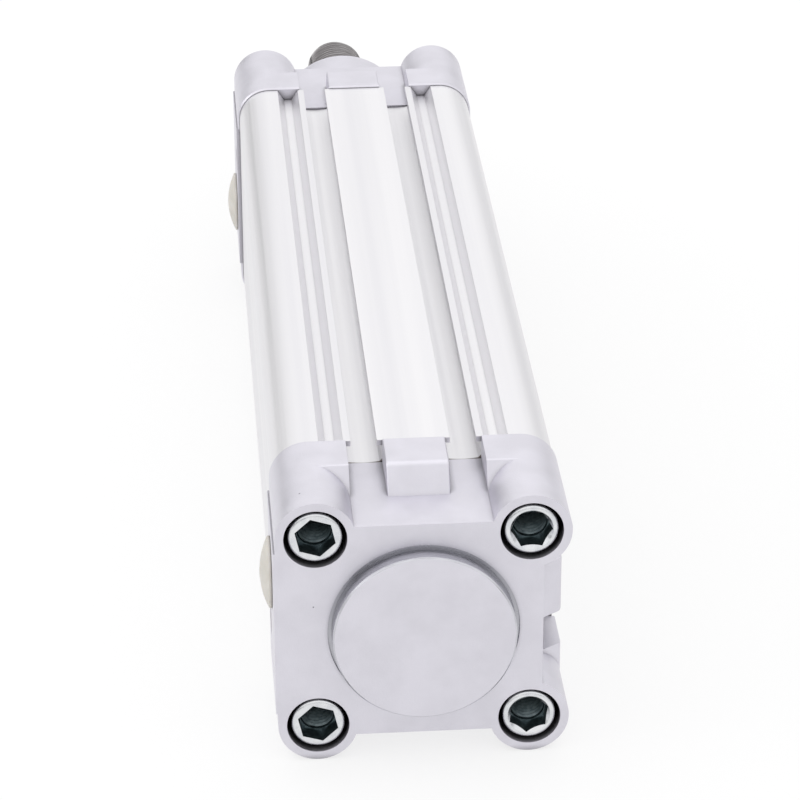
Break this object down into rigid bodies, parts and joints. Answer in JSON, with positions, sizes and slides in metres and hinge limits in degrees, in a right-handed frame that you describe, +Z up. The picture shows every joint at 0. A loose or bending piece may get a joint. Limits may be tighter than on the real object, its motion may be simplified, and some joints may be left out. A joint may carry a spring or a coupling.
{
  "type": "pneumatic cylinder",
  "caption": "Double-acting pneumatic cylinder with a slotted square profile barrel, cast end caps, a threaded piston rod and plugged air ports.",
  "frame": {"origin": "centre of the rear mounting face", "axes": "+X along the piston rod towards its thread, +Y out of the air ports, +Z up"},
  "size_m": [0.339, 0.0669, 0.064],
  "materials": {
    "anodised_aluminium": "natural anodised, satin, with fine lines along the extrusion",
    "cast_aluminium": "die-cast aluminium under a grey coat with a fine grain",
    "zinc_plated_steel": "bright zinc plate",
    "nitrile_rubber": "matt black",
    "polyurethane": "smooth, slightly glossy",
    "sintered_bronze": "fine grained sintered bronze",
    "chromed_steel": "hard chromed and polished, bare turned steel at the thread",
    "piston_aluminium": "turned",
    "bonded_magnet": "plastic bonded ferrite",
    "acetal": "smooth",
    "brass": "turned",
    "cream_plastic": "moulded polyethylene, waxy"
  },
  "bodies": {
    "cylinder": {"barrel": "anodised_aluminium", "rear_cap": "cast_aluminium", "front_cap": "cast_aluminium", "rear_cap_screws": "zinc_plated_steel", "front_cap_screws": "zinc_plated_steel", "rear_cap_o_ring": "nitrile_rubber", "front_cap_o_ring": "nitrile_rubber", "rear_cushion_seal": "polyurethane", "front_cushion_seal": "polyurethane", "rod_bush": "sintered_bronze", "rod_seal": "polyurethane", "rod_wiper": "polyurethane"},
    "piston_seals": {"piston_guide_ring": "acetal", "rear_piston_seal": "polyurethane", "front_piston_seal": "polyurethane"},
    "rod": {"piston_rod": "chromed_steel", "piston_rear_half": "piston_aluminium", "piston_front_half": "piston_aluminium", "piston_magnet": "bonded_magnet", "piston_o_ring": "nitrile_rubber", "piston_lock_nut": "zinc_plated_steel", "rear_cushion_sleeve": "piston_aluminium", "front_cushion_sleeve": "piston_aluminium"},
    "rear_adjuster_ring": {"rear_cushion_screw_o_ring": "nitrile_rubber"},
    "rear_adjuster": {"rear_cushion_screw": "brass"},
    "front_adjuster_ring": {"front_cushion_screw_o_ring": "nitrile_rubber"},
    "front_adjuster": {"front_cushion_screw": "brass"},
    "rear_plug": {"rear_port_plug": "cream_plastic"},
    "front_plug": {"front_port_plug": "cream_plastic"}
  },
  "joints": [
    {"name": "rod_slide", "type": "slide", "parent": "cylinder", "child": "piston_seals", "axis": [1, 0, 0], "range_m": [0, 0.16]},
    {"name": "rod_turn", "type": "hinge", "parent": "piston_seals", "child": "rod", "pos_m": [0.053, 0, 0], "axis": [1, 0, 0], "continuous": true},
    {"name": "rear_cushion_screw_lift", "type": "slide", "parent": "cylinder", "child": "rear_adjuster_ring", "axis": [0, 1, 0], "range_m": [-0.0013, 0.0015]},
    {"name": "rear_cushion_screw_turn", "type": "hinge", "parent": "rear_adjuster_ring", "child": "rear_adjuster", "pos_m": [0.0225, 0.0265, -0.009], "axis": [0, 1, 0], "range_deg": [-630, 722]},
    {"name": "front_cushion_screw_lift", "type": "slide", "parent": "cylinder", "child": "front_adjuster_ring", "axis": [0, 1, 0], "range_m": [-0.0013, 0.0015]},
    {"name": "front_cushion_screw_turn", "type": "hinge", "parent": "front_adjuster_ring", "child": "front_adjuster", "pos_m": [0.2435, 0.0265, 0.009], "axis": [0, 1, 0], "range_deg": [-630, 722]},
    {"name": "rear_plug_pull", "type": "slide", "parent": "cylinder", "child": "rear_plug", "axis": [0, 1, 0], "range_m": [0, 0.014]},
    {"name": "front_plug_pull", "type": "slide", "parent": "cylinder", "child": "front_plug", "axis": [0, 1, 0], "range_m": [0, 0.014]}
  ],
  "couplings": [
    {"joint": "rear_cushion_screw_turn", "follows": "rear_cushion_screw_lift", "rad_per_m": 8377.6},
    {"joint": "front_cushion_screw_turn", "follows": "front_cushion_screw_lift", "rad_per_m": 8377.6}
  ]
}
